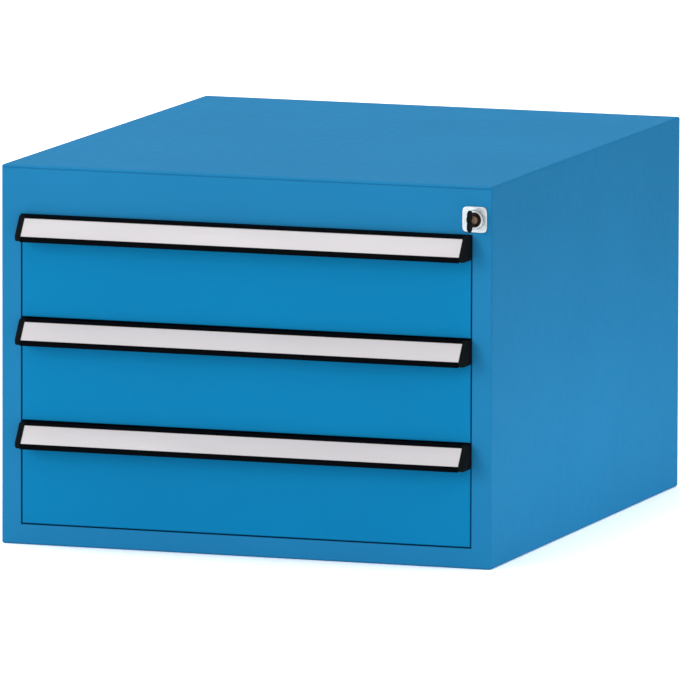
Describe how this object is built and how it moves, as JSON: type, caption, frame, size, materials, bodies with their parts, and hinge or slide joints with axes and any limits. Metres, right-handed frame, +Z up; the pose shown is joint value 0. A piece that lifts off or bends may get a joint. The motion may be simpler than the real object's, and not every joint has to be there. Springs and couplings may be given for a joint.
{
  "type": "under-bench drawer unit",
  "caption": "Steel under-bench drawer housing with equal full-width drawers on telescopic slides, slanted black grip rails with pale label strips, and a central key lock.",
  "frame": {"origin": "under the middle of the whole unit, on the surface it stands on", "axes": "+X to the right seen from the front, +Y to the back, +Z up; the drawers open along -Y"},
  "size_m": [0.5, 0.6082, 0.37],
  "materials": {
    "housing_paint": "satin",
    "drawer_paint": "satin",
    "tray_paint": "satin",
    "grip_black": "matte",
    "cap_black": "matte",
    "label_white": "matte",
    "slide_steel": "zinc plated",
    "ball_steel": "polished",
    "bracket_steel": "zinc plated",
    "screw_steel": "zinc plated",
    "lock_chrome": "satin chrome",
    "lock_core": "dark nickel",
    "key_brass": "worn"
  },
  "bodies": {
    "housing": {"left_side_panel": "housing_paint", "right_side_panel": "housing_paint", "front_top_rail": "housing_paint", "front_base_rail": "housing_paint", "top_panel": "housing_paint", "bottom_panel": "housing_paint", "back_panel": "housing_paint", "left_slide_uprights": "bracket_steel", "right_slide_uprights": "bracket_steel", "bar_guides": "bracket_steel", "slide_screws": "screw_steel", "lock_plate": "lock_chrome", "lock_body": "lock_chrome", "lock_nut": "bracket_steel", "bottom_left_cabinet_slide": "slide_steel", "bottom_right_cabinet_slide": "slide_steel", "middle_left_cabinet_slide": "slide_steel", "middle_right_cabinet_slide": "slide_steel", "top_left_cabinet_slide": "slide_steel", "top_right_cabinet_slide": "slide_steel"},
    "lock_core": {"lock_core": "lock_core", "lock_key": "key_brass", "lock_cam": "bracket_steel", "cam_screw": "screw_steel"},
    "lock_rod": {"lock_bar": "bracket_steel", "lock_hooks": "bracket_steel"},
    "bottom_runner": {"bottom_left_runner_slide": "slide_steel", "bottom_right_runner_slide": "slide_steel", "bottom_ball_rows": "ball_steel"},
    "bottom_drawer": {"bottom_left_drawer_slide": "slide_steel", "bottom_right_drawer_slide": "slide_steel", "bottom_drawer_front": "drawer_paint", "bottom_drawer_tray": "tray_paint", "bottom_grip_rail": "grip_black", "bottom_label_strip": "label_white", "bottom_grip_end_caps": "cap_black", "bottom_lock_catch": "bracket_steel"},
    "middle_runner": {"middle_left_runner_slide": "slide_steel", "middle_right_runner_slide": "slide_steel", "middle_ball_rows": "ball_steel"},
    "middle_drawer": {"middle_left_drawer_slide": "slide_steel", "middle_right_drawer_slide": "slide_steel", "middle_drawer_front": "drawer_paint", "middle_drawer_tray": "tray_paint", "middle_grip_rail": "grip_black", "middle_label_strip": "label_white", "middle_grip_end_caps": "cap_black", "middle_lock_catch": "bracket_steel"},
    "top_runner": {"top_left_runner_slide": "slide_steel", "top_right_runner_slide": "slide_steel", "top_ball_rows": "ball_steel"},
    "top_drawer": {"top_left_drawer_slide": "slide_steel", "top_right_drawer_slide": "slide_steel", "top_drawer_front": "drawer_paint", "top_drawer_tray": "tray_paint", "top_grip_rail": "grip_black", "top_label_strip": "label_white", "top_grip_end_caps": "cap_black", "top_lock_catch": "bracket_steel"}
  },
  "joints": [
    {"name": "top_drawer_slide", "type": "slide", "parent": "housing", "child": "top_drawer", "axis": [0, -1, 0], "range_m": [0, 0.5]},
    {"name": "top_runner_slide", "type": "slide", "parent": "housing", "child": "top_runner", "axis": [0, -1, 0], "range_m": [0, 0.25]},
    {"name": "middle_drawer_slide", "type": "slide", "parent": "housing", "child": "middle_drawer", "axis": [0, -1, 0], "range_m": [0, 0.5]},
    {"name": "middle_runner_slide", "type": "slide", "parent": "housing", "child": "middle_runner", "axis": [0, -1, 0], "range_m": [0, 0.25]},
    {"name": "bottom_drawer_slide", "type": "slide", "parent": "housing", "child": "bottom_drawer", "axis": [0, -1, 0], "range_m": [0, 0.5]},
    {"name": "bottom_runner_slide", "type": "slide", "parent": "housing", "child": "bottom_runner", "axis": [0, -1, 0], "range_m": [0, 0.25]},
    {"name": "lock_rod_lift", "type": "slide", "parent": "housing", "child": "lock_rod", "axis": [0, 0, 1], "range_m": [0, 0.01414]},
    {"name": "lock_turn", "type": "hinge", "parent": "housing", "child": "lock_core", "pos_m": [0.2327, -0.28085, 0.3379], "axis": [0, -1, 0], "range_deg": [0, 90]}
  ],
  "couplings": [
    {"joint": "top_runner_slide", "follows": "top_drawer_slide", "ratio": 0.5},
    {"joint": "middle_runner_slide", "follows": "middle_drawer_slide", "ratio": 0.5},
    {"joint": "bottom_runner_slide", "follows": "bottom_drawer_slide", "ratio": 0.5},
    {"joint": "lock_turn", "follows": "lock_rod_lift", "rad_per_m": 111.07}
  ]
}
